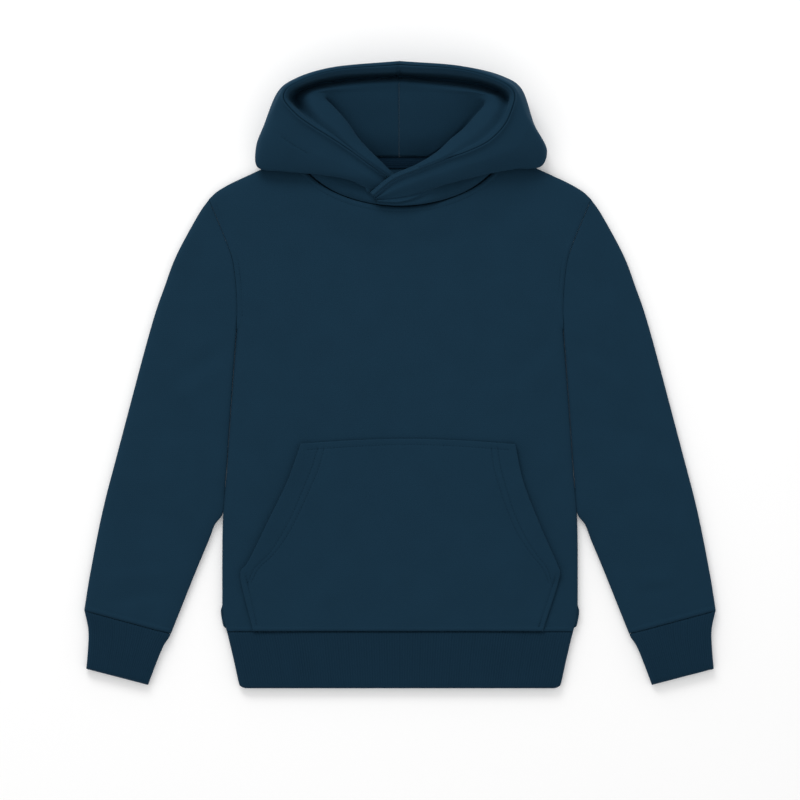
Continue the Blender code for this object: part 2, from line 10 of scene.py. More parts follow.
import bpy
import numpy as np
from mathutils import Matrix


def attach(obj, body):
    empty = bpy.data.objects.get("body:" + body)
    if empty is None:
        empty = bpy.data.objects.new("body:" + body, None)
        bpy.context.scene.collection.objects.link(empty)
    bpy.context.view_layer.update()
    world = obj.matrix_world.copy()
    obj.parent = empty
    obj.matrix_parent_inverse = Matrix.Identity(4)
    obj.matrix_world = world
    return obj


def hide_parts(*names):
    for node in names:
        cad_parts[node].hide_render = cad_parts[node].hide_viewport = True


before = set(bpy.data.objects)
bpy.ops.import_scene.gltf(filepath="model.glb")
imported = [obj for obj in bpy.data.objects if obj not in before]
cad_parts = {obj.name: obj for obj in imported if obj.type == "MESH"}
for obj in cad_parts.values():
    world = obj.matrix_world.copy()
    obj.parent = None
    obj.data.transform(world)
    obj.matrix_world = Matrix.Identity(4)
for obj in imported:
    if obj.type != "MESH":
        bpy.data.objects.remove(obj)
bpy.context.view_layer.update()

LENGTH = 562.6           # hem's lower edge to the top of the laid-out hood
FLEECE = 1.6             # wall of the body cloth
RIB = 2.2                # wall of the rib, which is folded double
TAPE = 0.8               # wall of the neck tape
SEAM = 0.3               # gap that every seam keeps
BAND_TOP = 51.3          # hem seam
ARMPIT_HEIGHT = 322.0
NECK_HALF = 94.5         # half-width of the neck at the shoulder seams
NECK_SIDE_HEIGHT = 478.0
FRONT_NECK_HEIGHT = 432.8
BACK_NECK_HEIGHT = 475.0
CHEST_HEIGHT = 4.6       # top of the front over the back, mid-chest
EDGE_HEIGHT = 7.0        # the same near the side seams, and the sleeves' height
NECK_HEIGHT = 9.0        # the same at the front neck seam, over the hood's seam allowances
SEAM_LEVEL = 3.3         # height of the side and shoulder seams' upper edge
FRONT_ROLL = 8.0         # width over which the front falls to a side seam
BACK_ROLL = 4.0          # width over which the back rises to it
INNER_ROLL = 16.0        # width over which the sleeve falls to its inner fold
CUFF_ROLL = 5.0          # width over which a cuff falls to its folds
BAND_ROLL = 6.0          # width over which the hem band falls to the sides
BAND_STEP = 0.4          # how much lower the hem band lies than the body's edge
SKIRT = 1.0              # upright part of a rolled edge, just at the seam
SKIRT_LEAN = 0.15        # how far that part leans in
RIM_GAP = 0.5            # gap of the lining to the outer hood, along the rim's top
NECK_EASE = 0.8          # gap of the hood to the neckline, whose chords cut its corner
SLEEVE_CLEARANCE = 0.05  # between the sleeve and the body's side

MM = 0.001
FLEECE_COLOUR = (0.0075, 0.0290, 0.0530)
RIB_COLOUR = (0.0060, 0.0240, 0.0450)
TAPE_COLOUR = (0.0030, 0.0140, 0.0290)
THREAD_COLOUR = (0.0065, 0.0260, 0.0480)
SHEEN_TINT = (0.20, 0.50, 0.80, 1.0)
COLOUR_SPREAD = 0.14     # how far the cloth's patches and fibres go from its colour
FLOOR_COLOUR = (0.93, 0.93, 0.93, 1.0)
FLOOR_GLOW = 0.12
WHITE = (1.0, 1.0, 1.0, 1.0)
WORLD_LIGHT = 0.75
LAMP_POWER = 32.0
LAMP_SIZE = (1.6, 0.9)
LAMP_PLACE = (-0.7, 2.1, 1.5)
LAMP_TURN = (-54.0, -15.0, 0.0)
VIEW_HEIGHT = 259.2      # height up the garment that the camera looks at
VIEW_DISTANCE = 4.0      # metres
LENS, SENSOR = 200.0, 36.0

# Half-width of the body, by height: hem band, side seam, armpit
SIDE = [
    # height, half
    (0.0, 139.5), (1.6, 143.0), (5.0, 145.0), (25.0, 149.4), (47.0, 154.6),
    (63.0, 158.9), (79.0, 159.8), (150.0, 159.4), (195.0, 155.9), (250.0, 152.2), (322.0, 147.0),
]
# The armhole seam, from the shoulder tip to the armpit
ARMHOLE = [
    # x, height
    (171.5, 440.0), (168.6, 432.0), (163.5, 420.0), (154.4, 397.5), (150.0, 383.0),
    (147.4, 362.0), (146.4, 340.0), (147.0, 322.0),
]
# The shoulder seam, from the neck side to the shoulder tip
SHOULDER = [
    # x, height
    (94.5, 478.0), (118.0, 469.5), (137.3, 460.8), (152.6, 453.6), (164.7, 446.4), (171.5, 440.0),
]
# The sleeve's outer fold, from the shoulder tip to the cuff seam
SLEEVE_OUTER = [
    # x, height
    (171.5, 440.0), (181.8, 425.0), (200.7, 390.0), (211.0, 363.0), (224.6, 322.0),
    (253.4, 214.0), (267.3, 160.0), (278.1, 106.0), (284.0, 70.0),
]
# The sleeve's inner fold past the point where it leaves the body's side, to the cuff seam
SLEEVE_LEAVES = 158.0    # height where the sleeve leaves the body
SLEEVE_INNER = [
    # x, height
    (166.5, 147.0), (171.9, 133.0), (183.2, 106.0), (194.0, 79.0), (206.0, 49.0),
]
# The cuff, from its seam to its folded edge
CUFF = [
    # outer x, outer height, inner x, inner height
    (283.8, 69.7, 206.3, 48.8),
    (283.2, 67.2, 207.2, 46.4),
    (280.2, 52.0, 212.4, 38.5),
    (281.0, 30.0, 219.0, 23.0),
    (282.2, 17.5, 226.5, 3.0),
]
# The pocket's left and right edges, from its folded top to the hem seam
POCKET_EDGE = [
    # left x, left height, right x, right height
    (-89.1, 220.0, 103.5, 219.6),
    (-100.8, 187.2, 110.7, 186.3),
    (-117.9, 151.7, 124.8, 149.4),
    (-138.6, 110.7, 142.5, 108.9),
    (-143.1, 105.8, 144.0, 104.4),
    (-132.1, 51.6, 128.2, 51.6),
]
POCKET_TOP_HEIGHT = 224.6    # middle of the slightly arched top

# The hood's outer halves: where each section is sewn, its hidden crease under the droop, the fold that
# shows as the hood's edge with its half-thickness, and the rim of the face opening
HOOD_OUTER = {
    "right": [
        # sewn x, sewn z, crease x, crease y, crease z, fold x, fold y, fold z, half, rim x, rim y, rim z
        (19.0, 9.0, 20.0, 436.6, 9.3, 21.5, 437.4, 9.8, 0.5, 26.5, 441.0, 11.0),
        (0.0, 9.0, 0.5, 436.5, 9.6, 1.0, 439.8, 10.6, 0.8, 9.9, 448.0, 13.4),
        (-21.6, 9.0, -23.0, 440.5, 9.6, -26.1, 447.5, 11.8, 1.3, -5.4, 456.3, 15.8),
        (-41.4, 9.0, -37.5, 464.0, 10.5, -44.1, 455.9, 16.0, 3.2, -23.4, 467.1, 21.5),
        (-61.2, 9.0, -57.0, 471.0, 11.0, -70.2, 460.8, 17.0, 3.6, -45.0, 482.4, 27.0),
        (-81.0, 8.4, -80.0, 479.0, 10.0, -103.5, 464.0, 16.5, 4.0, -63.0, 494.1, 31.5),
        (-92.6, 3.8, -92.0, 487.0, 5.0, -127.8, 468.0, 14.0, 6.0, -79.2, 504.0, 35.0),
        (-82.0, 0.0, -98.0, 489.0, 0.0, -129.2, 486.0, 12.0, 11.9, -92.7, 513.9, 38.0),
        (-62.0, 0.0, -88.0, 493.0, 0.0, -122.0, 505.8, 12.0, 11.9, -104.0, 528.3, 41.0),
        (-46.0, 0.0, -75.0, 505.0, 0.0, -107.5, 537.4, 13.0, 12.9, -101.5, 536.0, 42.5),
        (-32.0, 0.0, -60.0, 515.0, 0.0, -92.7, 547.2, 14.0, 13.9, -88.5, 543.8, 43.0),
        (-17.0, 0.0, -38.0, 520.0, 0.0, -63.0, 556.2, 15.0, 14.9, -60.6, 552.6, 43.0),
        (-1.0, 0.0, -1.0, 520.0, 0.0, -1.0, 562.0, 15.0, 14.9, -1.0, 558.2, 43.0),
    ],
    "left": [
        (-20.5, 15.0, -20.8, 437.6, 15.2, -21.5, 438.8, 15.8, 0.4, -24.0, 442.0, 17.0),
        (0.0, 14.6, 0.8, 437.2, 15.0, 2.7, 441.6, 16.4, 1.0, -5.4, 456.3, 22.5),
        (24.0, 13.2, 23.0, 444.0, 14.4, 28.8, 449.1, 18.0, 2.2, 17.1, 465.3, 26.0),
        (45.0, 9.6, 50.0, 461.5, 11.4, 58.5, 456.8, 17.4, 3.4, 40.5, 474.3, 28.5),
        (63.0, 9.0, 69.0, 472.0, 11.0, 81.0, 462.2, 17.0, 3.8, 61.2, 481.5, 31.0),
        (82.0, 8.4, 84.0, 480.0, 10.0, 103.5, 466.2, 16.5, 4.2, 80.1, 491.0, 33.5),
        (92.6, 3.8, 92.0, 487.0, 5.0, 126.9, 468.9, 14.0, 6.0, 93.6, 504.9, 36.5),
        (82.0, 0.0, 98.0, 489.0, 0.0, 131.9, 483.0, 12.0, 11.9, 99.9, 518.4, 39.0),
        (62.0, 0.0, 88.0, 495.0, 0.0, 120.6, 505.8, 12.0, 11.9, 102.5, 530.1, 41.0),
        (46.0, 0.0, 75.0, 505.0, 0.0, 107.5, 539.3, 13.0, 12.9, 99.5, 537.0, 42.5),
        (32.0, 0.0, 60.0, 515.0, 0.0, 91.8, 548.9, 14.0, 13.9, 85.5, 545.2, 43.0),
        (15.5, 0.0, 38.0, 520.0, 0.0, 58.5, 557.1, 15.0, 14.9, 56.7, 553.4, 43.0),
        (-0.7, 0.0, -0.7, 520.0, 0.0, -0.7, 562.0, 15.0, 14.9, -0.7, 558.2, 43.0),
    ],
}
# The hood's lining: the hollow behind the rim, the crest of the roll or of the fold at the back, the
# edge where it turns down, the foot below that edge and the end of the section
HOOD_LINING = {
    "right": [
        # dip share, dip z, crest x, crest y, crest z, edge x, edge y, edge z,
        # foot x, foot y, foot z, end x, end y, end z
        (0.4, 11.0, 28.6, 442.5, 10.9, 30.2, 443.6, 8.9, 29.2, 442.9, 6.8, 23.0, 439.4, 6.0),
        (0.4, 13.4, 11.8, 449.8, 13.2, 13.3, 451.2, 11.2, 12.4, 450.3, 9.1, 6.0, 444.6, 7.4),
        (0.4, 15.8, -3.2, 457.8, 15.6, -1.6, 459.2, 13.4, -2.6, 458.4, 10.8, -10.0, 452.5, 8.4),
        (0.4, 21.2, -20.6, 470.0, 21.3, -17.4, 473.0, 18.6, -18.2, 472.4, 7.5, -23.0, 469.0, 5.2),
        (0.4, 25.8, -42.3, 486.0, 26.2, -35.6, 491.4, 21.5, -36.2, 490.6, 10.6, -26.5, 477.8, 3.6),
        (0.4, 29.6, -55.8, 500.4, 31.2, -48.3, 508.8, 27.0, -48.4, 507.8, 17.6, -22.8, 477.8, 3.6),
        (0.4, 31.0, -70.2, 512.1, 34.0, -60.3, 522.0, 30.0, -59.6, 520.6, 22.5, -19.6, 477.8, 3.6),
        (0.4, 26.0, -79.2, 522.8, 34.5, -67.5, 529.6, 31.5, -65.0, 527.0, 26.0, -16.4, 477.8, 3.6),
        (0.42, 16.0, -81.9, 530.4, 34.0, -66.0, 533.4, 31.0, -61.0, 528.6, 27.0, -13.4, 477.8, 3.6),
        (0.42, 12.0, -77.0, 534.6, 33.5, -59.5, 534.2, 30.4, -54.0, 528.4, 27.0, -10.6, 477.8, 3.6),
        (0.42, 11.0, -64.0, 537.6, 32.5, -49.5, 534.0, 29.6, -45.0, 528.0, 26.8, -7.6, 477.8, 3.6),
        (0.56, 10.0, -38.0, 541.2, 31.0, -32.0, 534.4, 28.8, -29.0, 527.6, 26.4, -4.4, 477.8, 3.6),
        (0.58, 10.0, -1.0, 543.6, 30.0, -1.0, 535.6, 28.0, -1.0, 528.0, 25.8, -1.0, 477.8, 3.6),
    ],
    "left": [
        (0.4, 17.0, -25.6, 444.0, 16.9, -26.8, 445.5, 14.8, -26.0, 444.6, 12.7, -19.5, 440.6, 12.4),
        (0.4, 22.5, -6.8, 458.8, 22.2, -7.8, 460.4, 20.0, -7.2, 459.4, 17.8, 0.5, 450.0, 16.6),
        (0.4, 26.0, 15.5, 467.6, 25.8, 14.0, 469.7, 22.6, 14.4, 468.8, 13.0, 18.5, 463.5, 11.0),
        (0.4, 28.2, 38.0, 477.0, 28.3, 33.6, 481.2, 24.0, 33.2, 480.8, 9.0, 26.5, 477.8, 3.6),
        (0.4, 30.4, 53.6, 488.2, 31.2, 45.6, 492.4, 26.6, 45.0, 491.2, 11.2, 22.6, 477.8, 3.6),
        (0.4, 31.6, 69.0, 499.3, 33.2, 58.0, 502.4, 29.0, 56.6, 501.4, 15.4, 19.0, 477.8, 3.6),
        (0.4, 32.6, 81.0, 511.8, 34.6, 69.0, 514.6, 30.8, 67.0, 513.0, 21.0, 15.4, 477.8, 3.6),
        (0.4, 32.0, 86.6, 522.8, 34.6, 77.0, 525.0, 31.8, 73.6, 522.4, 25.0, 12.0, 477.8, 3.6),
        (0.42, 22.0, 84.0, 529.6, 34.0, 71.0, 530.4, 31.2, 66.0, 527.0, 27.0, 9.0, 477.8, 3.6),
        (0.42, 14.0, 76.0, 532.8, 33.5, 62.0, 532.4, 30.6, 56.0, 527.4, 27.0, 6.4, 477.8, 3.6),
        (0.42, 11.0, 62.0, 536.0, 32.5, 50.0, 532.6, 29.6, 45.0, 527.4, 26.8, 4.2, 477.8, 3.6),
        (0.56, 10.0, 35.5, 539.8, 31.0, 30.0, 533.6, 28.8, 27.0, 527.6, 26.4, 1.8, 477.8, 3.6),
        (0.58, 10.0, -0.7, 543.6, 30.0, -0.7, 535.6, 28.0, -0.7, 528.0, 25.8, -0.7, 477.8, 3.6),
    ],
}
# The hood's back wall inside, by height, from the neck tape to the fold at the back
BACK_WALL = [
    # height, z
    (477.0, 3.5), (481.0, 6.4), (490.0, 10.4), (505.0, 16.6), (520.0, 22.4), (534.0, 27.4),
]
TAPE_HALF = 62.0         # half-length of the neck tape
TAPE_LOW = 467.6
TAPE_HIGH = 477.3

# How finely the pieces are sampled
ARMHOLE_POINTS = 61      # around an armhole, front or back
SHOULDER_POINTS = 38
FRONT_GRID = (201, 105)  # columns, and rows up the side seam
BACK_GRID = (161, 60)
SLEEVE_RINGS = 141
POCKET_GRID = (241, 150)
POCKET_STEPS = [10, 10, 12, 4, 16]
CUFF_STEPS = [4, 8, 8, 10]
SECTION_STEPS = 12       # between two of the hood's sections
OUTER_STEPS = [3, 4, 4, 4, 8, 8, 6, 16, 6, 5]
LINING_STEPS = [3, 4, 7, 10, 8, 6, 8, 8, 8]
FACE_COLUMN = sum(OUTER_STEPS[:7])    # where the hood's face begins, past its fold
HEM_HEIGHTS = [51.15, 50.5, 49.6, 48.0, 44, 38, 31, 24, 17, 11, 7, 5, 3.6, 2.4, 1.6, 1.0, 0.5, 0.0]

# Ribs and stitches
HEM_RIBS = 132           # ribs across the hem band, front or back
CUFF_RIBS = 34
RIB_DEPTH = 0.55
RIB_COLUMNS = 6          # mesh columns in a rib
STITCH = 2.4             # length of a stitch
STITCH_GAP = 0.5
THREAD = 0.24            # radius of the sewing thread
THREAD_SIDES = 5
RIM_HEM = 24.0           # from the hood's rim to its stitched hem line
RIM_HEM_ROWS = slice(26, 118)    # the hood's rows that the hem line shows on
POCKET_LIFT = 1.8        # how far the pocket's slanted edges stand off the front
POCKET_LIFT_WIDTH = 16.0
POCKET_TOP_INSET = 5.4   # from the pocket's folded top to its stitches

# What brings the hood's halves together at the centre seam
CENTRE_CLOSING = {"right": 0.13, "left": -0.11}

# What a seam does to the cloth beside it: the join, the ridge over the turnings, the stitched groove
SEAM_RELIEF = [
    # distance from the join, lift
    (0.0, -0.55), (0.6, -0.2), (1.4, 0.42), (2.6, 0.58), (3.6, 0.40), (4.5, -0.22),
    (5.4, -0.05), (7.0, 0.0),
]
TOPSTITCH = 4.5          # from the join to the topstitching

# Soft creases: from one end to the other, half-width, and lift (a trough where it is below zero)
FRONT_CREASES = [
    # x, height, x, height, width, lift
    (-138.0, 318.0, -96.0, 286.0, 9.0, -0.9), (-134.0, 300.0, -104.0, 262.0, 11.0, 0.8),
    (139.0, 316.0, 101.0, 280.0, 10.0, -1.0), (132.0, 296.0, 108.0, 256.0, 12.0, 0.8),
    (-60.0, 372.0, -20.0, 352.0, 20.0, -0.5), (44.0, 366.0, 86.0, 390.0, 18.0, -0.6),
    (-118.0, 416.0, -92.0, 372.0, 12.0, -0.6), (120.0, 412.0, 98.0, 366.0, 13.0, -0.6),
    (-150.0, 210.0, -120.0, 176.0, 10.0, 0.8), (151.0, 216.0, 122.0, 190.0, 11.0, 0.9),
    (-30.0, 262.0, 42.0, 250.0, 24.0, -0.5), (-139.0, 84.0, -146.0, 62.0, 5.0, 0.6),
    (-70.0, 74.0, -40.0, 60.0, 9.0, -0.5), (36.0, 78.0, 72.0, 58.0, 10.0, -0.5),
]
SLEEVE_CREASES = {
    "left": [
        # x, height, x, height, width, lift
        (160.0, 312.0, 196.0, 286.0, 8.0, -1.2), (166.0, 292.0, 210.0, 262.0, 9.0, 0.9),
        (176.0, 236.0, 236.0, 222.0, 10.0, -0.9), (182.0, 206.0, 244.0, 196.0, 12.0, 0.8),
        (190.0, 168.0, 252.0, 176.0, 10.0, -0.7), (206.0, 100.0, 260.0, 92.0, 7.0, 0.8),
        (212.0, 84.0, 258.0, 96.0, 6.0, -0.8), (178.0, 400.0, 186.0, 352.0, 9.0, -0.7),
    ],
    "right": [
        (158.0, 306.0, 200.0, 276.0, 9.0, -1.2), (164.0, 284.0, 206.0, 258.0, 9.0, 0.9),
        (172.0, 226.0, 232.0, 234.0, 11.0, -0.8), (186.0, 192.0, 248.0, 184.0, 11.0, 0.8),
        (194.0, 150.0, 256.0, 158.0, 9.0, -0.7), (208.0, 104.0, 262.0, 98.0, 7.0, 0.8),
        (214.0, 86.0, 262.0, 78.0, 6.0, -0.8), (176.0, 404.0, 190.0, 356.0, 8.0, -0.7),
    ],
}
BACK_CREASES = [
    # x, height, x, height, width, lift
    (-120.0, 300.0, -60.0, 268.0, 14.0, 0.8), (116.0, 292.0, 70.0, 250.0, 13.0, 0.7),
    (-40.0, 180.0, 50.0, 170.0, 18.0, 0.6), (-80.0, 110.0, -20.0, 120.0, 15.0, 0.6),
]
# The two rows of stitches that hold the pocket's facing, inwards from its slanted edge
POCKET_ROWS = [
    # height, first row, second row
    (94.5, 5.6, 8.3), (108.0, 10.5, 14.5), (121.5, 15.0, 19.6), (138.6, 18.0, 23.4), (160.0, 18.6, 24.0),
    (179.0, 17.2, 23.2), (199.0, 17.2, 23.4), (217.5, 16.4, 22.0),
]


def place(x, height, z):
    """A point in metres in the part's frame, from millimetres and a height up the garment."""
    return (x * MM, (height - LENGTH / 2.0) * MM, z * MM)


def spline(rows, steps):
    """A smooth curve through rows of numbers, as Catmull-Rom with the given steps in each stretch."""
    rows = np.asarray(rows, float)
    padded = np.vstack([2 * rows[0] - rows[1], rows, 2 * rows[-1] - rows[-2]])
    if np.isscalar(steps):
        steps = [steps] * (len(rows) - 1)
    out = []
    for i, count in enumerate(steps):
        p0, p1, p2, p3 = padded[i:i + 4]
        for k in range(count):
            t = k / count
            out.append(0.5 * (2 * p1 + (p2 - p0) * t + (2 * p0 - 5 * p1 + 4 * p2 - p3) * t ** 2
                              + (3 * p1 - p0 - 3 * p2 + p3) * t ** 3))
    out.append(rows[-1])
    return np.array(out)


def flowing(points, steps):
    """A centripetal Catmull-Rom curve through points, with the given steps in each stretch."""
    p = np.asarray(points, float)
    p = np.vstack([2 * p[0] - p[1], p, 2 * p[-1] - p[-2]])
    gap = np.maximum(np.sqrt(np.linalg.norm(np.diff(p, axis=0), axis=1)), 0.05)
    slope = np.diff(p, axis=0) / gap[:, None]
    tangent = (gap[1:, None] * slope[:-1] + gap[:-1, None] * slope[1:]) / (gap[:-1] + gap[1:])[:, None]
    out = []
    for i, count in enumerate(steps):
        t = np.arange(count)[:, None] / count
        leaving, arriving = gap[i + 1] * tangent[i], gap[i + 1] * tangent[i + 1]
        out.append((2 * t ** 3 - 3 * t ** 2 + 1) * p[i + 1] + (t ** 3 - 2 * t ** 2 + t) * leaving
                   + (3 * t ** 2 - 2 * t ** 3) * p[i + 2] + (t ** 3 - t ** 2) * arriving)
    return np.vstack(out + [p[-2:-1]])


def along(rows, shares):
    """Points at shares 0 to 1 of the length of the smooth curve through rows."""
    dense = spline(rows, 12)
    step = np.linalg.norm(np.diff(dense[:, :2], axis=0), axis=1)
    length = np.concatenate([[0.0], np.cumsum(step)])
    wanted = np.asarray(shares) * length[-1]
    return np.stack([np.interp(wanted, length, dense[:, k]) for k in range(dense.shape[1])], axis=1)


def unit(vector):
    return vector / np.linalg.norm(vector)


def half_width(height):
    dense = spline(SIDE, 8)
    return float(np.interp(height, dense[:, 0], dense[:, 1]))


def front_neck_height(x):
    """The front neckline, a shallow arc that steepens to the neck side."""
    u = abs(x) / NECK_HALF
    return FRONT_NECK_HEIGHT + (NECK_SIDE_HEIGHT - FRONT_NECK_HEIGHT) * (0.70 * u ** 2 + 0.30 * u ** 7)


def back_neck_height(x):
    return BACK_NECK_HEIGHT + (NECK_SIDE_HEIGHT - BACK_NECK_HEIGHT) * (x / NECK_HALF) ** 4


def side_seam():
    heights = np.linspace(BAND_TOP, ARMPIT_HEIGHT, 24)
    return np.array([(half_width(h), h) for h in heights])


def edge_shares(count, tight):
    """Shares from 0 to 1, closer together at both ends when tight is over 0."""
    even = np.linspace(0.0, 1.0, count)
    return (1 - tight) * even + tight * (1 - np.cos(math.pi * even)) / 2


def smooth(x, low, high):
    """A soft step from 0 at low to 1 at high."""
    t = np.clip((x - low) / (high - low), 0.0, 1.0)
    return t * t * (3 - 2 * t)


def distance(points, line):
    """Distance from plan points to a polyline; a row of nan parts it into separate lines."""
    nearest = np.full(points.shape[:-1], np.inf)
    for start, end in zip(line[:-1], line[1:]):
        run = end - start
        if not np.isnan(run[0]):
            share = np.clip(((points - start) @ run) / (run @ run), 0.0, 1.0)
            gap = np.linalg.norm(points - start - share[..., None] * run, axis=-1)
            nearest = np.minimum(nearest, gap)
    return nearest


def roll(gap, width, low, high):
    """Height of a quarter-round fold, from low at the fold itself to high a width away from it."""
    q = np.minimum(gap / width, 1.0)
    return low + (high - low) * np.sqrt(np.maximum(0.0, 1 - (1 - q) ** 2))


def seam_roll(gap, width, low, high):
    """The same with a short upright skirt at the seam."""
    rise = np.minimum(SKIRT, 0.5 * np.abs(high - low)) * np.sign(high - low)
    skirt = low + rise * smooth(gap, 0.3 * SKIRT_LEAN, 0.8 * SKIRT_LEAN)
    rolled = roll(np.maximum(gap - SKIRT_LEAN, 0.0), width, low + rise, high)
    return np.where(gap < SKIRT_LEAN, skirt, rolled)


def creased(plan, creases):
    """Lift of the soft creases at plan points."""
    total = np.zeros(plan.shape[:-1])
    for x0, y0, x1, y1, width, depth in creases:
        start, run = np.array([x0, y0]), np.array([x1 - x0, y1 - y0])
        share = ((plan - start) @ run) / (run @ run)
        gap = np.linalg.norm(plan - start - np.clip(share, 0.0, 1.0)[..., None] * run, axis=-1)
        along_it = smooth(share, -0.25, 0.35) * (1 - smooth(share, 0.65, 1.25))
        total += depth * np.exp(-(gap / width) ** 2) * along_it
    return total


def seam_relief(gap):
    """Lift of the cloth at a distance from a seam's join."""
    reach, lift_of = zip(*SEAM_RELIEF)
    return np.interp(gap, reach, lift_of)


def groove(gap, depth=0.38, width=0.9):
    """Lift, below zero, of the line that a row of stitches pulls down."""
    return -depth * np.exp(-(gap / width) ** 2)


SEAMS = np.vstack([side_seam(), [(np.nan, np.nan)], spline(SHOULDER, 4)[:, :2]])
NECKLINE = np.array([(x, front_neck_height(x)) for x in np.linspace(0.0, NECK_HALF - 14.0, 12)])
NECK_SEAM = np.array([(x, front_neck_height(x)) for x in np.linspace(0.0, NECK_HALF, 30)])
ARMHOLE_SEAM = spline(ARMHOLE, 6)
HEM_SEAM = np.array([(0.0, BAND_TOP), (170.0, BAND_TOP)])


def halved(plan):
    """Plan points folded over to the positive side, since the seams match on both sides."""
    return plan * np.where(plan[..., :1] < 0, [-1.0, 1.0], [1.0, 1.0])


def front_top(plan):
    """Top of the front panel at plan points, with its creases and the relief of its seams."""
    x, height = plan[..., 0], plan[..., 1]
    half = halved(plan)
    level = CHEST_HEIGHT + (EDGE_HEIGHT - CHEST_HEIGHT) * smooth(np.abs(x), 70.0, 140.0)
    level += (EDGE_HEIGHT - level) * 0.6 * (1 - smooth(height, BAND_TOP, BAND_TOP + 110.0))
    level += (NECK_HEIGHT - level) * (1 - smooth(distance(half, NECKLINE), 2.0, 40.0))
    gap = distance(half, SEAMS)
    z = seam_roll(gap, FRONT_ROLL, SEAM_LEVEL, level)
    z += creased(plan, FRONT_CREASES) * smooth(gap, 4.0, 18.0)
    for seam in (NECK_SEAM, HEM_SEAM):
        z += seam_relief(distance(half, seam)) * smooth(gap, 1.0, 8.0)
    above_armpit = smooth(height, ARMPIT_HEIGHT, ARMPIT_HEIGHT + 20.0)
    return z + seam_relief(distance(half, ARMHOLE_SEAM)) * above_armpit


def back_top(plan):
    """Underside of the back panel, flat on the surface but for its seams and a few soft creases."""
    gap = distance(halved(plan), SEAMS)
    return seam_roll(gap, BACK_ROLL, SEAM_LEVEL - 2 * SEAM, 0.0) + creased(plan, BACK_CREASES)


def coons(bottom, top, left, right, across=None, upward=None):
    """Plan points of a patch between four edges, at the shares given across and upward."""
    u = np.linspace(0, 1, len(bottom)) if across is None else across
    v = np.linspace(0, 1, len(left)) if upward is None else upward
    u, v = u[None, :, None], v[:, None, None]
    corners = ((1 - u) * (1 - v) * bottom[0] + u * (1 - v) * bottom[-1]
               + (1 - u) * v * top[0] + u * v * top[-1])
    edges = (1 - v) * bottom[None] + v * top[None] + (1 - u) * left[:, None] + u * right[:, None]
    return edges - corners


def lift(plan, z):
    """Grid of placed points from plan points and their heights off the surface."""
    x, height = plan[..., 0], plan[..., 1]
    return np.stack([x * MM, (height - LENGTH / 2) * MM, z * MM], axis=-1)


def cloth(name, grid, wall, finish, closed=False):
    """A piece of cloth: the grid is its outer face, and Solidify gives it its wall on the other side."""
    rows, columns = grid.shape[:2]
    across = columns if closed else columns - 1
    i, j = np.meshgrid(np.arange(rows - 1) * columns, np.arange(across), indexing="ij")
    k = (j + 1) % columns
    faces = np.stack([i + j, i + k, i + columns + k, i + columns + j], axis=-1)
    mesh = bpy.data.meshes.new(name)
    mesh.from_pydata(grid.reshape(-1, 3).tolist(), [], faces.reshape(-1, 4).tolist())
    mesh.shade_smooth()
    mesh.materials.append(finish)
    piece = bpy.data.objects.new(name, mesh)
    bpy.context.scene.collection.objects.link(piece)
    solid = piece.modifiers.new("wall", "SOLIDIFY")
    solid.thickness = wall * MM
    solid.offset = -1.0
    return piece


def body_plan(columns, side_rows, neckline):
    """Plan points of the front or back panel, from the hem seam to the shoulders and the neck."""
    inner = edge_shares(columns - 2, 0.75)
    lean = SKIRT_LEAN / (2 * half_width(ARMPIT_HEIGHT))
    across = np.concatenate([[0.0], lean + (1 - 2 * lean) * inner, [1.0]])
    hem_half = half_width(BAND_TOP)
    bottom = np.stack([(2 * across - 1) * hem_half, np.full(columns, BAND_TOP)], axis=1)
    side_line = along(side_seam(), edge_shares(side_rows, 0.8))
    armhole = along(ARMHOLE, edge_shares(ARMHOLE_POINTS, 0.85))[::-1]
    lip = armhole[-1] - unit(armhole[-1] - armhole[-2]) * SKIRT_LEAN
    armhole = np.vstack([armhole[:-1], lip, armhole[-1:]])
    right = np.vstack([side_line[:, :2], armhole[1:]])
    run = np.concatenate([[0.0], np.cumsum(np.linalg.norm(np.diff(right, axis=0), axis=1))])
    shoulder = along(SHOULDER[::-1], np.linspace(0, 1, SHOULDER_POINTS))[:-1]
    lip = shoulder[0] + unit(shoulder[1] - shoulder[0]) * SKIRT_LEAN
    shoulder = np.vstack([shoulder[:1], lip, shoulder[1:]])
    middle = columns - 2 * len(shoulder)
    neck = np.array([(x, neckline(x)) for x in np.linspace(NECK_HALF, -NECK_HALF, middle)])
    top = np.vstack([shoulder, neck, (shoulder * [-1, 1])[::-1]])[::-1]
    return coons(bottom, top, right * [-1, 1], right, across, run / run[-1])


def turned(grid, side):
    """The wearer's left piece as it is, the right one mirrored."""
    if side == "left":
        return grid
    flipped = grid * np.array([-1.0, 1.0, 1.0])
    return flipped[:, ::-1]


def ring(outer, inner, plan, shares, rolls, high, relief):
    """Section of a flattened tube, over its top from the outer fold and back underneath."""
    width = np.linalg.norm(inner - outer)
    from_outer, from_inner = shares * width, (1 - shares) * width
    near_outer = from_outer / rolls[0] < from_inner / rolls[1]
    gap = np.where(near_outer, from_outer, from_inner)
    size = np.where(near_outer, *rolls)
    top = roll(gap, size, high / 2, high) + relief * smooth(gap, 0.0, 3.0)
    nearest = np.minimum(from_outer, from_inner)
    low = high / 2 - roll(nearest, np.minimum(size, BACK_ROLL), 0.0, high / 2)
    return np.concatenate([lift(plan, top), lift(plan, low)[-2:0:-1]])


def tube(outer, inner, first, last, shares, rolls, heights, relief, upward=None):
    """Rings of a flattened tube between two folds and two end edges; relief lifts its upper side."""
    plan = coons(first, last, outer, inner, shares, upward)
    return np.array([ring(row[0], row[-1], row, shares, rolls, high, add)
                     for row, high, add in zip(plan, heights, relief(plan))])


